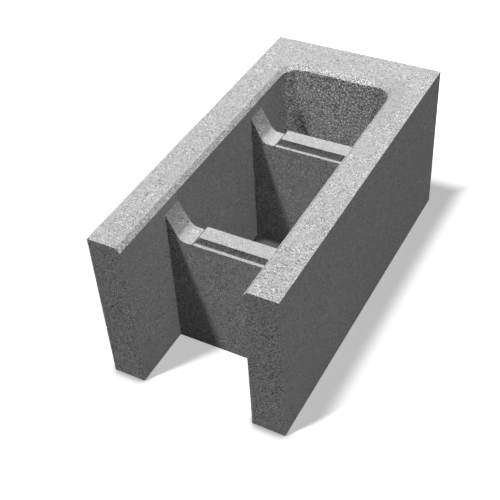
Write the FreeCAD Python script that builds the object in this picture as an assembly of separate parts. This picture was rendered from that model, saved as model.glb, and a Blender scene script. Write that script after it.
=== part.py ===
import FreeCAD, Part
import math
import os

# Hollow concrete formwork block, cast as one piece, in millimetres.
# X runs across the wall's thickness, Y along the wall, Z up. The open end is at -Y.
# The origin is the centre of the resting face. Two long shells and an end wall stand round a trough,
# and two webs with lowered tops tie the shells together.

# Outside of the block
block_length = 500.0
block_width = 250.0
block_height = 230.0

# Walls and spacing, measured level with the top
shell_thickness = 45.0
end_wall_thickness = 63.0
web_thickness = 30.0
bay_length = 96.0
middle_cell_length = 194.0

# Draft of the cores, as the growth of a face from the top to the foot
shell_draft = 1.0
web_draft = 5.0

# Mouth of the trough: a steep chamfer on the inner top edge, and round corners at the end wall
mouth_chamfer_width = 5.0
mouth_chamfer_height = 7.0
core_corner_radius = 24.0

# Saddle in the top of each web: a ramp down from each shell, a fillet and a flat
ramp_start_depth = 21.5
saddle_depth = 58.0
ramp_run = 19.0
saddle_fillet_radius = 14.0

# Raised rib along each saddle. Its -X end is sloped and stands clear of the ramp, and at +X it dies into
# the other ramp. A ledge is left in front of it and behind it.
rib_height = 12.0
rib_setback = 35.5
rib_end_run = 7.5
rib_ledge = 4.0

# How far a cutting shape runs past the face that it cuts, and a web into the shells
overrun = 10.0
web_root = 5.0

half_width = block_width / 2
open_end_y = -block_length / 2
closed_end_y = block_length / 2
trough_half_width = half_width - shell_thickness
trough_end_y = closed_end_y - end_wall_thickness
chamfer_foot_z = block_height - mouth_chamfer_height
saddle_z = block_height - saddle_depth
ramp_top_z = block_height - ramp_start_depth

# Near faces of the webs level with the top, from the open end
near_web_y = open_end_y + bay_length
far_web_y = near_web_y + web_thickness + middle_cell_length


def mouth_outline(grow, z):
    """Outline of the trough at height z, with every side moved out by grow. It runs out past the open end."""
    x = trough_half_width + grow
    end_y = trough_end_y + grow
    radius = core_corner_radius + grow
    start_y = open_end_y - overrun
    turn_y = end_y - radius
    turn_x = x - radius
    diagonal = radius * math.sqrt(0.5)
    start_right = FreeCAD.Vector(x, start_y, z)
    turn_right = FreeCAD.Vector(x, turn_y, z)
    middle_right = FreeCAD.Vector(turn_x + diagonal, turn_y + diagonal, z)
    end_right = FreeCAD.Vector(turn_x, end_y, z)
    end_left = FreeCAD.Vector(-turn_x, end_y, z)
    middle_left = FreeCAD.Vector(-turn_x - diagonal, turn_y + diagonal, z)
    turn_left = FreeCAD.Vector(-x, turn_y, z)
    start_left = FreeCAD.Vector(-x, start_y, z)
    return Part.Wire([
        Part.makeLine(start_right, turn_right),
        Part.Arc(turn_right, middle_right, end_right).toShape(),
        Part.makeLine(end_right, end_left),
        Part.Arc(end_left, middle_left, turn_left).toShape(),
        Part.makeLine(turn_left, start_left),
        Part.makeLine(start_left, start_right),
    ])


def drafted_core(top_grow, top_z, foot_grow, foot_z):
    """Solid between two outlines of the trough, straight from one to the other."""
    return Part.makeLoft([mouth_outline(foot_grow, foot_z), mouth_outline(top_grow, top_z)], True, True)


def make_walls():
    """Two shells and the end wall: the block with the drafted trough and its chamfered mouth cut out."""
    corner = FreeCAD.Vector(-half_width, open_end_y, 0)
    block = Part.makeBox(block_width, block_length, block_height, corner)
    draft_per_mm = shell_draft / block_height
    core = drafted_core(draft_per_mm * overrun, block_height + overrun,
                        -draft_per_mm * (block_height + overrun), -overrun)
    chamfer_slope = mouth_chamfer_width / mouth_chamfer_height
    mouth = drafted_core(mouth_chamfer_width + chamfer_slope * overrun, block_height + overrun,
                         0.0, chamfer_foot_z)
    return block.cut(core).cut(mouth)


def polygon_prism(corners, direction):
    """Solid swept from a closed outline of corners along direction."""
    outline = Part.makePolygon(corners + corners[:1])
    return Part.Face(outline).extrude(direction)


def make_web_blank(near_y):
    """Web before its saddle is cut: a slab that widens towards the foot and is rooted in both shells."""
    x = -trough_half_width - web_root
    reach = 2 * (trough_half_width + web_root)
    growth = web_draft * ramp_top_z / block_height
    far_y = near_y + web_thickness
    corners = [
        FreeCAD.Vector(x, near_y - web_draft, 0),
        FreeCAD.Vector(x, far_y + web_draft, 0),
        FreeCAD.Vector(x, far_y + web_draft - growth, ramp_top_z),
        FreeCAD.Vector(x, near_y - web_draft + growth, ramp_top_z),
    ]
    return polygon_prism(corners, FreeCAD.Vector(reach, 0, 0))


def make_saddle_cut(near_y):
    """Space over a web's flat and ramps, with a fillet where a ramp meets the flat."""
    foot_x = trough_half_width - ramp_run
    slope_x = ramp_run / (ramp_top_z - saddle_z)
    top_z = ramp_top_z + overrun
    top_x = trough_half_width + slope_x * overrun
    start_y = near_y - overrun
    corners = [
        FreeCAD.Vector(-foot_x, start_y, saddle_z),
        FreeCAD.Vector(foot_x, start_y, saddle_z),
        FreeCAD.Vector(top_x, start_y, top_z),
        FreeCAD.Vector(-top_x, start_y, top_z),
    ]
    space = polygon_prism(corners, FreeCAD.Vector(0, web_thickness + 2 * overrun, 0))
    feet = [edge for edge in space.Edges
            if all(abs(end.Point.z - saddle_z) < 1e-6 and abs(abs(end.Point.x) - foot_x) < 1e-6
                   for end in edge.Vertexes)]
    return space.makeFillet(saddle_fillet_radius, feet)


def make_rib(near_y):
    """Raised rib along a saddle's flat, with a sloped end at -X and its other end inside the ramp at +X."""
    foot_x = -trough_half_width + rib_setback
    start_y = near_y + rib_ledge
    root_z = saddle_z - web_root
    rib_top_z = saddle_z + rib_height
    corners = [
        FreeCAD.Vector(foot_x, start_y, root_z),
        FreeCAD.Vector(trough_half_width, start_y, root_z),
        FreeCAD.Vector(trough_half_width, start_y, rib_top_z),
        FreeCAD.Vector(foot_x + rib_end_run, start_y, rib_top_z),
        FreeCAD.Vector(foot_x, start_y, saddle_z),
    ]
    return polygon_prism(corners, FreeCAD.Vector(0, web_thickness - 2 * rib_ledge, 0))


def make_web(near_y):
    """One web with its saddle and rib. near_y is its near face level with the top."""
    return make_web_blank(near_y).cut(make_saddle_cut(near_y)).fuse(make_rib(near_y))


def make_block():
    """The whole casting as one solid."""
    webs = [make_web(near_y) for near_y in (near_web_y, far_web_y)]
    return make_walls().fuse(webs).removeSplitter()


os.makedirs("parts", exist_ok=True)
formwork_block = make_block()
formwork_block.exportStep("parts/formwork_block.step")
print("solids:", len(formwork_block.Solids))
print("volume in litres:", round(formwork_block.Volume / 1e6, 3))
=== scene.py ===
"""Hollow concrete formwork block, cast as one piece, on a plain white studio floor.

The block's skin is made from the frame's own solid. Its faces are cut into a grid that gets finer at the
arrises and round the pores, and the skin is then worn back. Nothing stands proud of the solid.
"""

import math
import random

import bmesh
import bpy
from mathutils import Matrix, Vector, kdtree, noise


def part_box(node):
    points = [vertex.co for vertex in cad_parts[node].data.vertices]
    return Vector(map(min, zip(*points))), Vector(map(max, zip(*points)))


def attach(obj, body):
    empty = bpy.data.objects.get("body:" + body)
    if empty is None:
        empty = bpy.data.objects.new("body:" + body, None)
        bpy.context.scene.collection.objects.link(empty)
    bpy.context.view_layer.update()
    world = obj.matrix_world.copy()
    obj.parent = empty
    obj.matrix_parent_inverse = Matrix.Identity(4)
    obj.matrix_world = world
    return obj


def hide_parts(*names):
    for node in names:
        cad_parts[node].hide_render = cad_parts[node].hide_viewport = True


bl_info = {
    "name": "Concrete formwork block",
    "version": (1, 0, 0),
    "blender": (4, 5, 0),
    "location": "3D View > Sidebar > Formwork block",
    "description": "Gives a formwork block its worn concrete skin and sets it on a studio floor",
    "category": "Object",
}

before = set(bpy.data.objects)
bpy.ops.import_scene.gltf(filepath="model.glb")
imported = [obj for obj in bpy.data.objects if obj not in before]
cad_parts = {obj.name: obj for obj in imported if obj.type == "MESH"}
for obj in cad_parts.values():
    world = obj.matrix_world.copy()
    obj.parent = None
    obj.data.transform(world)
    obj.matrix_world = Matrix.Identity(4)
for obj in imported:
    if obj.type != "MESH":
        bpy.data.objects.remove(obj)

BLOCK = "formwork_block"
BLOCK_LOW, BLOCK_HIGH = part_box(BLOCK)
MM = 0.001

# Inner faces of the shells and the end wall under the mouth's flare, the struck top and the saddles' flats
SHELL_FACE = BLOCK_HIGH[0] - 45 * MM
END_FACE = BLOCK_HIGH[1] - 63 * MM
TOP = BLOCK_HIGH[2]
SADDLE = TOP - 58 * MM

# Near faces of the two webs at their tops, and the foot of each rib's slope
NEAR_WEB = BLOCK_LOW[1] + 96 * MM
FAR_WEB = NEAR_WEB + 224 * MM
RIB_FOOT = -45.1 * MM

# Faces that meet at less than the first turn are one flat face, and at more than the second make a corner
FLAT_TURN = math.radians(0.3)
CORNER_TURN = math.radians(25)

# Depth of a pore and of a chip, as a share of its radius
PORE_DEPTH = 0.8
CHIP_DEPTH = 0.38

# Steps in which the grid gets finer round the arrises, chips and pores: a reach, and the length of the edges
# within it above which they are halved
ARRIS_GRID = ((5 * MM, 4 * MM), (2.5 * MM, 2 * MM), (1.2 * MM, MM))
CHIP_GRID = ((4 * MM, 2 * MM), (3 * MM, MM))
PORE_GRID = ((5 * MM, 4 * MM), (3.4 * MM, 2 * MM), (2.4 * MM, MM), (1.8 * MM, 0.6 * MM))


class SkinSettings(bpy.types.PropertyGroup):
    """Sizes of the concrete's skin."""

    cell: bpy.props.FloatProperty(
        name="Grid cell", description="Widest cell of the grid on the faces",
        default=6.4 * MM, min=2 * MM, unit="LENGTH")
    arris_radius: bpy.props.FloatProperty(
        name="Arris radius", description="Rounding of the outer edges",
        default=0.5 * MM, min=0.0, unit="LENGTH")
    crumble: bpy.props.FloatProperty(
        name="Crumbling", description="Deepest loss of single grains along an arris",
        default=0.28 * MM, min=0.0, unit="LENGTH")
    waviness: bpy.props.FloatProperty(
        name="Waviness", description="Unevenness of the flat faces",
        default=0.16 * MM, min=0.0, unit="LENGTH")
    chips: bpy.props.IntProperty(
        name="Chips", description="Number of small chips knocked out of the arrises", default=56, min=0)
    chip_reach: bpy.props.FloatProperty(
        name="Chip size", description="Half the length of the largest chip",
        default=2.3 * MM, min=0.0, unit="LENGTH")
    pores: bpy.props.IntProperty(
        name="Pores", description="Number of open pores in the faces", default=360, min=0)
    pore_reach: bpy.props.FloatProperty(
        name="Pore size", description="Radius of the largest pore",
        default=1.6 * MM, min=0.0, unit="LENGTH")
    seed: bpy.props.IntProperty(name="Seed", description="Seed of the chips and pores", default=11)


class FinishSettings(bpy.types.PropertyGroup):
    """Colours and grain of the concrete."""

    # The tops are paler than the sides: partly the struck skin's own colour, and partly painted light that
    # stands in for the stronger light falling on the tops
    top: bpy.props.FloatVectorProperty(
        name="Top", description="Colour of the struck top faces",
        subtype="COLOR", default=(0.475, 0.475, 0.473), min=0.0, max=1.0)
    side: bpy.props.FloatVectorProperty(
        name="Side", description="Colour of the faces that slid along the mould",
        subtype="COLOR", default=(0.323, 0.323, 0.322), min=0.0, max=1.0)
    grain: bpy.props.FloatProperty(
        name="Sand grain", description="Contrast of the sand grains", default=1.0, min=0.0, max=3.0)
    relief: bpy.props.FloatProperty(
        name="Relief", description="Height of the sand grains", default=0.35 * MM, min=0.0, unit="LENGTH")


class StudioSettings(bpy.types.PropertyGroup):
    """Floor and lights of the studio."""

    key: bpy.props.FloatProperty(
        name="Key light", description="Level of the lamp from the left front", default=0.60, min=0.0)
    overhead: bpy.props.FloatProperty(
        name="Overhead light", description="Level of the soft light from above", default=0.62, min=0.0)
    fill: bpy.props.FloatProperty(
        name="Fill light", description="Level of the weak lights that open the shaded sides",
        default=0.205, min=0.0)
    floor_size: bpy.props.FloatProperty(
        name="Floor", description="Side of the floor", default=12.0, min=1.0, unit="LENGTH")


# Shader maths


class Wire:
    """A socket that gives a number. Arithmetic on it adds Math nodes."""

    def __init__(self, finish, socket):
        self.finish = finish
        self.socket = socket

    def __add__(self, other):
        return self.finish.math("ADD", self, other)

    __radd__ = __add__

    def __mul__(self, other):
        return self.finish.math("MULTIPLY", self, other)

    __rmul__ = __mul__

    def __sub__(self, other):
        return self.finish.math("SUBTRACT", self, other)

    def __rsub__(self, other):
        return self.finish.math("SUBTRACT", other, self)

    def __pow__(self, other):
        return self.finish.math("POWER", self, other)

    def __abs__(self):
        return self.finish.math("ABSOLUTE", self)


class Finish:
    """Node tree of a material or a world. add makes any node."""

    def __init__(self, tree):
        self.tree = tree
        tree.nodes.clear()

    def add(self, kind, settings=None, values=None, out=0):
        """Adds a node with its settings and the values or links of its sockets, and gives one output."""
        node = self.tree.nodes.new(kind)
        for name, value in (settings or {}).items():
            setattr(node, name, value)
        for name, value in (values or {}).items():
            if isinstance(value, Wire):
                self.tree.links.new(value.socket, node.inputs[name])
            else:
                node.inputs[name].default_value = value
        return Wire(self, node.outputs[out] if node.outputs else None)

    def math(self, operation, first, second=0.0):
        return self.add("ShaderNodeMath", {"operation": operation}, {0: first, 1: second})

    def fade(self, value, low, high, start=0.0, end=1.0):
        """Goes smoothly from start to end as value goes from low to high."""
        return self.add(
            "ShaderNodeMapRange", {"interpolation_type": "SMOOTHSTEP"},
            {"Value": value, "From Min": low, "From Max": high, "To Min": start, "To Max": end})

    def past(self, value, edge, start, end, most=1.0):
        """Goes smoothly from 0 to most as value goes from start to end millimetres past edge."""
        return self.fade(value, edge + start * MM, edge + end * MM, 0.0, most)

    def blend(self, share, first, second):
        """Colour between first and second."""
        return self.add(
            "ShaderNodeMix", {"data_type": "RGBA"}, {0: share, 6: first, 7: second}, out=2)

    def tint(self, colour, factor):
        """Colour made lighter or darker by factor."""
        return self.add("ShaderNodeVectorMath", {"operation": "SCALE"}, {"Vector": colour, "Scale": factor})

    def openness(self, reach, low, high):
        """0 where walls within reach shut a place in, and 1 where it lies open."""
        return self.fade(
            self.add("ShaderNodeAmbientOcclusion", None, {"Distance": reach}, out="AO"), low, high)

    def seen(self):
        """1 for a ray that shows a place to the camera, and 0 for one that carries light from it."""
        straight, mirrored, through = (
            self.add("ShaderNodeLightPath", out=name)
            for name in ("Is Camera Ray", "Is Glossy Ray", "Is Transmission Ray"))
        return self.math("MINIMUM", straight + mirrored + through, 1.0)


def opaque(colour):
    return (*colour, 1.0)


def grey(level):
    return opaque((level, level, level))


# The concrete


class Concrete(Finish):
    """Node tree of pressed concrete. A mark is 1 where the concrete has it and 0 where it doesn't."""

    def __init__(self, tree):
        super().__init__(tree)
        self.place = self.add("ShaderNodeTexCoord", out="Object")
        self.across, self.along, self.height = (
            self.add("ShaderNodeSeparateXYZ", None, {"Vector": self.place}, out=side) for side in "XYZ")
        self.top, self.drawn, self.rough, self.pore_shade = (
            self.add("ShaderNodeAttribute", {"attribute_name": name}, out="Fac")
            for name in ("top_face", "drawn_face", "rough_face", "pore"))
        drag = self.add("ShaderNodeMapping", None, {"Vector": self.place, "Scale": (1.0, 1.0, 0.035)})
        self.sand = self.grains(880.0)
        self.dust = self.speckle(1050.0, 1.0)
        self.streak = self.speckle(170.0, 2.0, drag)
        # Tops of the saddles and ribs
        self.low = self.top * self.past(self.height, SADDLE, 18, 14)
        # Faces of the shells towards each other, and the skin that is as rough as the end wall's inside
        self.enclosed = self.drawn * self.past(abs(self.across), SHELL_FACE, 20, 10)
        self.coarse = self.math(
            "MAXIMUM", self.rough, self.enclosed * self.past(self.along, END_FACE, -49, -24, 0.8))
        self.pore = self.open_pores()
        self.smear = self.smeared()

    def speckle(self, scale, detail, where=None):
        """Noise about zero, with grains of about 1/scale metres."""
        return self.add(
            "ShaderNodeTexNoise", None,
            {"Vector": where or self.place, "Scale": scale, "Detail": detail, "Roughness": 0.6}) - 0.5

    def grains(self, scale):
        """A random number for each grain of about 1/scale metres, about zero."""
        colour = self.add(
            "ShaderNodeTexVoronoi", {"feature": "F1"}, {"Vector": self.place, "Scale": scale}, out="Color")
        return self.add("ShaderNodeSeparateColor", None, {"Color": colour}) - 0.5

    def patch(self, across, along, squash, start, end, most=1.0):
        """Oval patch round a place. It fades in as the distance squared, in mm, falls from start to end."""
        reach = (self.across - across) ** 2.0 + squash * (self.along - along) ** 2.0
        return self.fade(reach, start * MM ** 2, end * MM ** 2, 0.0, most)

    def line(self, value, place, start, end):
        """Line at a place. It fades in from start to end millimetres away."""
        return self.past(abs(value - place), 0.0, start, end)

    def open_pores(self):
        """Open pores between the grains, darkest on the tops of the shells and the end wall."""
        pits = self.add(
            "ShaderNodeTexVoronoi", {"feature": "F1"}, {"Vector": self.place, "Scale": 280.0}, out="Distance")
        sparse = self.fade(self.speckle(330.0, 0.0), 0.19, 0.24)
        return (1.0 - self.fade(pits, 0.09, 0.24)) * sparse * (0.4 + 0.6 * self.top - 0.6 * self.low)

    def smeared(self):
        """Top that was smeared smooth, on the right corner and along the right shell."""
        corner = self.patch(SHELL_FACE - 2 * MM, END_FACE - 4 * MM, 1.0, 800, 200)
        shell = self.patch(SHELL_FACE + 14 * MM, END_FACE - 57 * MM, 0.07, 220, 60, 0.8)
        return self.top * self.math("MAXIMUM", corner, shell)

    def painted_flare_highlight(self):
        """Painted highlight: a light strip along the end wall's flare."""
        return (
            self.past(self.along, END_FACE, 6.5, 4.5) * self.past(self.along, END_FACE, -19, -12)
            * self.past(self.height, TOP, -7.8, -7.2)
            * self.past(self.across, -SHELL_FACE, 0.5, 8) * self.past(self.across, SHELL_FACE, -18, -40))

    def mouth(self):
        """The flare round the mouth."""
        return (
            self.past(self.height, TOP, -7.9, -7.1) * self.past(self.height, TOP, -0.1, -0.8)
            * self.past(abs(self.across), SHELL_FACE, 5.6, 5))

    def painted_crease_shade(self):
        """Painted shade: a dark line in the crease at the foot of each rib's slope."""
        return (
            self.line(self.across, RIB_FOOT, 1.4, 0.6) * self.line(self.height, SADDLE + 0.1 * MM, 2.2, 1.2))

    def lip(self):
        """Line along the right shell's inner arris, as far as the corner."""
        return (
            self.line(self.across, SHELL_FACE + 5.2 * MM, 1.2, 0.4) * self.past(self.height, TOP, -2, -1)
            * self.past(self.along, END_FACE, -12, -32))

    def painted_rib_side_shade(self):
        """Painted shade on the near and far sides of the ribs."""
        return (
            (1.0 - self.top) * (1.0 - self.drawn) * self.past(self.height, SADDLE, -0.5, 1.5)
            * self.past(abs(self.across), SHELL_FACE, -18, -24) * self.past(self.along, FAR_WEB, 60, 40))

    def bare_tone(self, grain):
        """How light the concrete is, about 1, from its grain, cement, drag marks, rough skin and pores, with
        painted shade inside the modelled pores.
        """
        cement = self.speckle(75.0, 4.0)
        cloud = self.speckle(11.0, 3.0)
        patchy = self.fade(self.speckle(38.0, 2.0), -0.12, 0.12, 0.7, 1.25)
        contrast = grain * patchy * (
            1.7 - 0.38 * self.top - 0.65 * self.drawn - 0.45 * self.low - 0.6 * self.smear)
        glints = self.fade(self.sand, 0.42, 0.5) - 0.7 * self.fade(self.sand, -0.42, -0.5)
        tone = 1.0 + contrast * (
            0.42 * self.sand + 0.08 * self.top * self.grains(330.0) + 2.3 * self.dust + 0.25 * glints)
        tone = tone + 0.05 * self.low + (0.05 + 0.11 * self.top) * cement + 0.12 * cloud
        tone = tone + self.drawn * (0.08 * self.streak + 0.4 * self.speckle(260.0, 2.0))
        tone = tone - 0.14 * self.rough + self.coarse * (
            1.15 * self.sand + 6.6 * self.dust + 1.7 * self.speckle(430.0, 1.0)
            + 0.5 * self.fade(self.sand, 0.4, 0.48))
        # The modelled pores are darkened inside as painted shade
        return tone * (1.0 - 0.55 * self.pore) * (1.0 - 0.55 * self.pore_shade)

    def marked_tone(self, grain):
        """The bare tone with the light and dark marks of single places, among them painted highlights and
        painted shade.
        """
        mouth = self.mouth()
        # Right far corner of the mouth, where the flare gets painted shade
        corner = self.past(self.across, SHELL_FACE, -14, -4) * self.past(self.along, END_FACE, -27, -15)
        # Painted highlight along the end wall's flare
        lighter = self.painted_flare_highlight() * (0.22 + 2.4 * self.dust)
        lighter = lighter + mouth * (0.03 + 2.0 * self.dust + 0.3 * self.sand)
        # Painted light and shade: the tops get lighter and the sides darker towards the closed end
        painted_light_towards_closed_end = 0.4 * self.along * (self.top - 0.5)
        tone = self.bare_tone(grain) * (1.0 + lighter) * (1.0 + painted_light_towards_closed_end)
        darker = (
            # Painted shade on the flare at the right far corner
            0.24 * mouth * corner,
            0.1 * self.smear * self.past(self.height, TOP, -1, -0.1),
            # Painted shade on the end wall's inside towards its right corner
            0.36 * self.rough * self.past(self.across, SHELL_FACE, -40, -18),
            # Painted shade in the crease at the foot of each rib's slope
            0.7 * self.painted_crease_shade(),
            0.3 * self.lip(),
            # Painted shade on the sides of the ribs
            0.35 * self.painted_rib_side_shade(),
            # Painted shade on the shells' inner faces inside the middle and end cells
            self.enclosed * (
                self.past(self.along, NEAR_WEB, 24, 34, 0.10) + self.past(self.along, FAR_WEB, 10, 30, 0.04)),
        )
        for shade in darker:
            tone = tone * (1.0 - shade)
        return tone

    def swell(self):
        """How far the surface swells out or is pitted, as a multiple of the relief."""
        lumps = self.add(
            "ShaderNodeTexVoronoi", {"feature": "SMOOTH_F1"},
            {"Vector": self.place, "Scale": 700.0, "Smoothness": 0.5}, out="Distance")
        crust = self.speckle(700.0, 2.0)
        fine = 0.35 * (1.0 - lumps) + 1.5 * self.dust + 0.1 * self.speckle(260.0, 3.0)
        swell = fine * (0.28 + 0.42 * (1.0 - self.drawn) + 0.3 * self.top)
        return swell + 14.0 * self.coarse * crust - 1.6 * self.pore + 0.5 * self.drawn * self.streak


def make_concrete(settings):
    """Pressed concrete: sand grains, cloudy cement, open pores, and drag marks from the mould."""
    material = bpy.data.materials.new("pressed_concrete")
    material.use_nodes = True
    concrete = Concrete(material.node_tree)
    # Tops and rough faces take the paler colour; on the tops it is partly painted light
    light = concrete.math("MAXIMUM", concrete.top, concrete.rough)
    body = concrete.blend(light, opaque(settings.side), opaque(settings.top))
    colour = concrete.tint(body, concrete.marked_tone(settings.grain))
    bump = concrete.add(
        "ShaderNodeBump", None, {"Strength": 0.55, "Distance": settings.relief, "Height": concrete.swell()})
    shine = concrete.add(
        "ShaderNodeBsdfPrincipled", None,
        {"Base Color": colour, "Roughness": 0.93, "IOR": 1.45, "Specular IOR Level": 0.25, "Normal": bump})
    concrete.add("ShaderNodeOutputMaterial", None, {"Surface": shine})
    return material


# The block's skin


def clamp(value):
    """The value, kept from 0 to 1."""
    return min(1.0, max(0.0, value))


def open_solid(node):
    """The frame's solid with its loose triangles joined into flat faces."""
    skin = bmesh.new()
    skin.from_mesh(node.data)
    bmesh.ops.remove_doubles(skin, verts=skin.verts, dist=0.001 * MM)
    bmesh.ops.dissolve_limit(skin, angle_limit=FLAT_TURN, verts=skin.verts, edges=skin.edges)
    return skin


def sort_edges(skin):
    """Splits the shading at every corner. Gives back the outer ones, the arrises, as two ends and a turn."""
    arrises = []
    for edge in skin.edges:
        turn = edge.calc_face_angle_signed(0.0)
        if abs(turn) > CORNER_TURN:
            edge.smooth = False
        if turn > CORNER_TURN:
            arrises.append((edge.verts[0].co.copy(), edge.verts[1].co.copy(), turn))
    return arrises


def tree_of(points):
    """Search tree over points."""
    tree = kdtree.KDTree(len(points))
    for index, point in enumerate(points):
        tree.insert(point, index)
    tree.balance()
    return tree


def points_along(arrises, step):
    """Points about every step along the arrises, and how deep a rounding of radius 1 cuts each one back."""
    points = []
    cuts = []
    for start, end, turn in arrises:
        count = max(1, math.ceil((end - start).length / step))
        points += [start.lerp(end, index / count) for index in range(count + 1)]
        cuts += [1 / math.cos(turn / 2) - 1] * (count + 1)
    return points, cuts


def plan_cuts(low, high, cell, corners):
    """Places of the grid's planes from low to high, each kept clear of the solid's own corners."""
    enough = 1.2 * MM
    count = math.ceil((high - low) / cell)
    cuts = []
    for index in range(1, count):
        even = low + (high - low) * index / count
        tries = [even + shift * 0.1 * cell for shift in range(-4, 5)]
        clear = [min(enough, min(abs(spot - corner) for corner in corners)) for spot in tries]
        cuts.append(max(zip(clear, [-abs(spot - even) for spot in tries], tries))[2])
    return cuts


def slice_faces(skin, faces, axis, cuts):
    """Cuts the faces along axis at every place in cuts, the middle one first."""
    if not cuts or not faces:
        return
    half = len(cuts) // 2
    normal = Vector((0.0, 0.0, 0.0))
    normal[axis] = 1.0
    edges = {edge for face in faces for edge in face.edges}
    verts = {vert for face in faces for vert in face.verts}
    cut = bmesh.ops.bisect_plane(
        skin, geom=[*verts, *edges, *faces], dist=0.0005 * MM, plane_co=normal * cuts[half], plane_no=normal)
    below = []
    above = []
    for part in cut["geom"]:
        if isinstance(part, bmesh.types.BMFace):
            (below if part.calc_center_median()[axis] < cuts[half] else above).append(part)
    slice_faces(skin, below, axis, cuts[:half])
    slice_faces(skin, above, axis, cuts[half + 1:])


def refine(skin, tree, steps):
    """For each reach and length in steps, halves the longer edges within that reach of the tree's points."""
    for reach, longest in steps:
        close = {vert for vert in skin.verts if tree.find(vert.co)[2] < reach}
        edges = [edge for edge in skin.edges
                 if edge.verts[0] in close and edge.verts[1] in close and edge.calc_length() > longest]
        bmesh.ops.subdivide_edges(skin, edges=edges, cuts=1, use_grid_fill=True)


def pick_pores(skin, settings, draw):
    """Centres and radii of the open pores, spread over the faces by area."""
    faces = list(skin.faces)
    areas = [face.calc_area() for face in faces]
    pores = []
    for face in draw.choices(faces, weights=areas, k=settings.pores):
        corner = draw.randrange(len(face.verts))
        centre = face.calc_center_median().lerp(face.verts[corner].co, 0.8 * draw.random())
        pores.append((centre, settings.pore_reach * draw.uniform(0.4, 1.0) ** 1.5))
    return pores


def pick_chips(arris_points, settings, draw):
    """Centres and radii of the chips, most of them small."""
    return [
        (centre, settings.chip_reach * (0.3 + 0.7 * draw.random() ** 2.2))
        for centre in draw.sample(arris_points, settings.chips)
    ]


def in_end_cell(place):
    """Whether a place is between the shells, behind the far web and under the mouth's flare."""
    return (
        abs(place.x) < SHELL_FACE + MM and FAR_WEB + 50 * MM < place.y < END_FACE + 1.5 * MM
        and place.z < TOP - 6.5 * MM)


def mark_faces(skin):
    """Says how far each face is a struck top, slid along the mould, or is the end wall's rough inside."""
    top, drawn, rough = (
        skin.faces.layers.float.new(name) for name in ("top_face", "drawn_face", "rough_face"))
    for face in skin.faces:
        face[top] = clamp((face.normal.z - 0.40) / 0.16)
        face[drawn] = 1.0 if abs(face.normal.x) > 0.9 else 0.0
        face[rough] = clamp(-2.2 * face.normal.y - 0.05) if in_end_cell(face.calc_center_median()) else 0.0


def wear(skin, arris_tree, cuts, dents, settings):
    """Moves the points back into the concrete: worn arrises, chips, pores and a little unevenness."""
    wave_size = 22 * MM
    crumb_size = 2.6 * MM
    crumbled_size = 14 * MM
    ragged_size = 1.7 * MM
    fringe = 1.1 * MM
    skin.normal_update()
    # How deep in a modelled pore each point lies, for painted shade inside it
    shade = skin.verts.layers.float.new("pore")
    skin.verts.ensure_lookup_table()
    places = [vert.co.copy() for vert in skin.verts]
    inward = [-vert.normal for vert in skin.verts]
    depth = []
    for place in places:
        nearest, index, away = arris_tree.find(place)
        wave = 0.5 + 0.5 * noise.fractal(place / wave_size, 1.0, 2.1, 2)
        sink = settings.waviness * clamp(wave)
        if away < settings.arris_radius:
            sink += cuts[index] * settings.arris_radius * (1 - away / settings.arris_radius) ** 2
        if away < fringe:
            loss = noise.fractal(place / crumb_size, 1.0, 2.0, 3) + 0.7 * noise.noise(place / crumbled_size)
            sink += 2.4 * cuts[index] * settings.crumble * clamp(loss) * (1 - away / fringe)
        depth.append(sink)
    tree = tree_of(places)
    for centre, reach, share in dents:
        for place, index, distance in tree.find_range(centre, reach):
            ragged = 0.8 + 0.5 * noise.noise(place / ragged_size)
            hollow = ragged * (1 - (distance / reach) ** 2) ** 1.3
            depth[index] += share * reach * hollow
            if share > CHIP_DEPTH:
                skin.verts[index][shade] = max(skin.verts[index][shade], min(1.0, hollow))
    for vert, place, direction, sink in zip(skin.verts, places, inward, depth):
        vert.co = place + direction * sink


class FORMWORK_OT_block(bpy.types.Operator):
    """Casts the block's concrete skin over the frame's solid"""

    bl_idname = "formwork.block"
    bl_label = "Concrete block"

    def execute(self, context):
        settings = context.scene.formwork_skin
        draw = random.Random(settings.seed)
        skin = open_solid(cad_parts[BLOCK])
        arris_points, cuts = points_along(sort_edges(skin), 0.5 * MM)
        arris_tree = tree_of(arris_points)
        solid_corners = [vert.co.copy() for vert in skin.verts]
        for axis in (1, 0, 2):
            cut_places = plan_cuts(
                BLOCK_LOW[axis], BLOCK_HIGH[axis], settings.cell, [corner[axis] for corner in solid_corners])
            slice_faces(skin, list(skin.faces), axis, cut_places)
        bmesh.ops.triangulate(skin, faces=[face for face in skin.faces if len(face.verts) > 4])
        pores = pick_pores(skin, settings, draw)
        chips = pick_chips(arris_points, settings, draw)
        refine(skin, arris_tree, ARRIS_GRID)
        refine(skin, tree_of([centre for centre, reach in chips]), CHIP_GRID)
        refine(skin, tree_of([centre for centre, reach in pores]), PORE_GRID)
        mark_faces(skin)
        dents = [(centre, reach, PORE_DEPTH) for centre, reach in pores]
        dents += [(centre, reach, CHIP_DEPTH) for centre, reach in chips]
        wear(skin, arris_tree, cuts, dents, settings)
        for face in skin.faces:
            face.smooth = True
        mesh = bpy.data.meshes.new("concrete_block")
        skin.to_mesh(mesh)
        skin.free()
        mesh.materials.append(make_concrete(context.scene.formwork_finish))
        block = bpy.data.objects.new("concrete_block", mesh)
        context.scene.collection.objects.link(block)
        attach(block, "root")
        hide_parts(BLOCK)
        print("concrete_block triangles:", sum(len(p.vertices) - 2 for p in mesh.polygons))
        return {"FINISHED"}


# The studio


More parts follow.
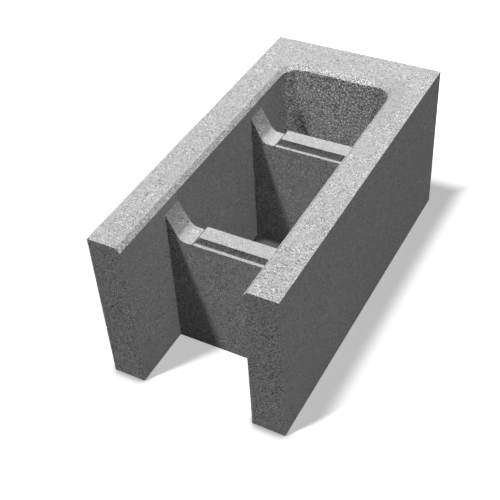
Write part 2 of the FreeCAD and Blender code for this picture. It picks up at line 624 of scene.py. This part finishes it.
def make_floor_paint():
    """White paint. Painted light cuts its shadow short a little beside and behind the block, painted contact
    shade lies in front of the feet, and painted shade makes it dim in the cells.
    """
    material = bpy.data.materials.new("white_floor")
    material.use_nodes = True
    finish = Finish(material.node_tree)
    place = finish.add("ShaderNodeTexCoord", out="Object")
    across, along = (finish.add("ShaderNodeSeparateXYZ", None, {"Vector": place}, out=side) for side in "XY")
    in_cells = (1.0 - finish.past(abs(across), SHELL_FACE, 1, 5)) * (
        finish.past(along, NEAR_WEB, 9, 19) * (1.0 - finish.past(along, END_FACE, 3, 23)))
    # Painted contact shade: in front of the feet the key light on the floor fades out where walls close in
    clear_of_feet = finish.math(
        "MAXIMUM", finish.openness(16 * MM, 0.5, 0.95), finish.past(along, BLOCK_LOW[1], 0, 15))
    # Painted light: from 21 to 52 mm beside the block and 30 to 62 mm behind it the floor glows white,
    # cutting the shadow short
    clear_of_shadow = finish.math(
        "MAXIMUM", finish.past(across, BLOCK_HIGH[0], 21, 52), finish.past(along, BLOCK_HIGH[1], 30, 62))
    lit = finish.add(
        "ShaderNodeBsdfDiffuse", None, {"Color": finish.blend(clear_of_feet, grey(0.0), grey(1.0))})
    glow = finish.add(
        "ShaderNodeEmission", None, {"Color": finish.blend(clear_of_shadow, grey(0.452), grey(1.0))})
    open_floor = finish.add("ShaderNodeAddShader", None, {0: lit, 1: glow})
    # Painted shade: inside the cells the floor is a dim grey glow, darkest against the walls
    painted_cell_shade = finish.add(
        "ShaderNodeEmission", None,
        {"Color": finish.blend(finish.openness(20 * MM, 0.5, 0.8), grey(0.03), grey(0.125))})
    shown = finish.add("ShaderNodeMixShader", None, {0: in_cells, 1: open_floor, 2: painted_cell_shade})
    dull = finish.add("ShaderNodeBsdfDiffuse", None, {"Color": grey(0.03)})
    surface = finish.add("ShaderNodeMixShader", None, {0: finish.seen(), 1: dull, 2: shown})
    finish.add("ShaderNodeOutputMaterial", None, {"Surface": surface})
    return material


def make_floor(settings):
    """White floor that shows the block's shadow to the camera and throws little light back."""
    floor = bmesh.new()
    bmesh.ops.create_grid(floor, x_segments=1, y_segments=1, size=settings.floor_size / 2)
    mesh = bpy.data.meshes.new("studio_floor")
    floor.to_mesh(mesh)
    floor.free()
    mesh.materials.append(make_floor_paint())
    return bpy.data.objects.new("studio_floor", mesh)


def make_sun(name, towards, level, angle, shadow=True):
    """Lamp whose light travels along towards, and lights a white face that it meets squarely to level."""
    lamp = bpy.data.lights.new(name, "SUN")
    lamp.energy = level * math.pi
    lamp.angle = math.radians(angle)
    lamp.use_shadow = shadow
    light = bpy.data.objects.new(name, lamp)
    light.rotation_mode = "QUATERNION"
    light.rotation_quaternion = Vector(towards).to_track_quat("-Z", "Y")
    return light


def make_world():
    """White surroundings for the camera, and next to none of their light on the block."""
    world = bpy.data.worlds.new("studio_world")
    world.use_nodes = True
    finish = Finish(world.node_tree)
    faint = finish.add("ShaderNodeBackground", None, {"Color": grey(1.0), "Strength": 0.01})
    white = finish.add("ShaderNodeBackground", None, {"Color": grey(1.0), "Strength": 1.0})
    surface = finish.add("ShaderNodeMixShader", None, {0: finish.seen(), 1: faint, 2: white})
    finish.add("ShaderNodeOutputWorld", None, {"Surface": surface})
    return world


def make_camera():
    """Camera at the photograph's viewing angle, tilted a little to the side as there."""
    place = Vector((0.4709, -0.8820, 0.9584))
    azimuth = math.radians(30.81)
    elevation = math.radians(42.03)
    roll = math.radians(-4.15)
    back = Vector((math.sin(azimuth) * math.cos(elevation), -math.cos(azimuth) * math.cos(elevation),
                   math.sin(elevation)))
    level = Vector((0.0, 0.0, 1.0)).cross(back).normalized()
    upright = back.cross(level)
    right = level * math.cos(roll) + upright * math.sin(roll)
    up = upright * math.cos(roll) - level * math.sin(roll)
    data = bpy.data.cameras.new("camera")
    data.sensor_width = 36.0
    data.lens = 69.43
    data.clip_start = 0.01
    data.clip_end = 100.0
    camera = bpy.data.objects.new("camera", data)
    turn = Matrix((right, up, back)).transposed().to_4x4()
    camera.matrix_world = Matrix.Translation(place) @ turn
    return camera


class FORMWORK_OT_studio(bpy.types.Operator):
    """Adds the white floor, the lights and the camera"""

    bl_idname = "formwork.studio"
    bl_label = "Studio"

    def execute(self, context):
        scene = context.scene
        settings = scene.formwork_studio
        link = scene.collection.objects.link
        floor = make_floor(settings)
        link(floor)
        link(make_sun("key_light", towards=(0.263, 0.371, -0.890), level=settings.key, angle=4.5))
        overhead = make_sun(
            "overhead_light", towards=(0.05, 0.0, -0.999), level=settings.overhead, angle=36.0)
        link(overhead)
        overhead.light_linking.receiver_collection = bpy.data.collections.new("lit_from_above")
        overhead.light_linking.receiver_collection.objects.link(bpy.data.objects["concrete_block"])
        fills = {"right": (-1.0, 0.0, 0.0), "back": (0.0, -1.0, 0.0), "left": (1.0, 0.0, 0.0)}
        for side, towards in fills.items():
            link(make_sun(side + "_fill", towards, level=settings.fill, angle=1.0, shadow=False))
        scene.world = make_world()
        camera = make_camera()
        link(camera)
        scene.camera = camera
        scene.view_settings.view_transform = "Standard"
        return {"FINISHED"}


class FORMWORK_PT_panel(bpy.types.Panel):
    """Shows the settings of the skin, the finish and the studio, with buttons that build the block and the
    studio
    """

    bl_idname = "FORMWORK_PT_panel"
    bl_label = "Formwork block"
    bl_space_type = "VIEW_3D"
    bl_region_type = "UI"
    bl_category = "Formwork block"

    def draw(self, context):
        scene = context.scene
        for owner in (scene.formwork_skin, scene.formwork_finish, scene.formwork_studio):
            box = self.layout.box()
            for name in owner.__annotations__:
                box.prop(owner, name)
        self.layout.operator(FORMWORK_OT_block.bl_idname)
        self.layout.operator(FORMWORK_OT_studio.bl_idname)


CLASSES = (
    SkinSettings, FinishSettings, StudioSettings, FORMWORK_OT_block, FORMWORK_OT_studio, FORMWORK_PT_panel)


def register():
    for cls in CLASSES:
        bpy.utils.register_class(cls)
    bpy.types.Scene.formwork_skin = bpy.props.PointerProperty(type=SkinSettings)
    bpy.types.Scene.formwork_finish = bpy.props.PointerProperty(type=FinishSettings)
    bpy.types.Scene.formwork_studio = bpy.props.PointerProperty(type=StudioSettings)


def unregister():
    del bpy.types.Scene.formwork_skin
    del bpy.types.Scene.formwork_finish
    del bpy.types.Scene.formwork_studio
    for cls in reversed(CLASSES):
        bpy.utils.unregister_class(cls)


def corners(box):
    return [list(corner) for corner in box]


def main():
    register()
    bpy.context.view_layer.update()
    bpy.ops.formwork.block()
    bpy.ops.formwork.studio()


if __name__ == "__main__":
    main()
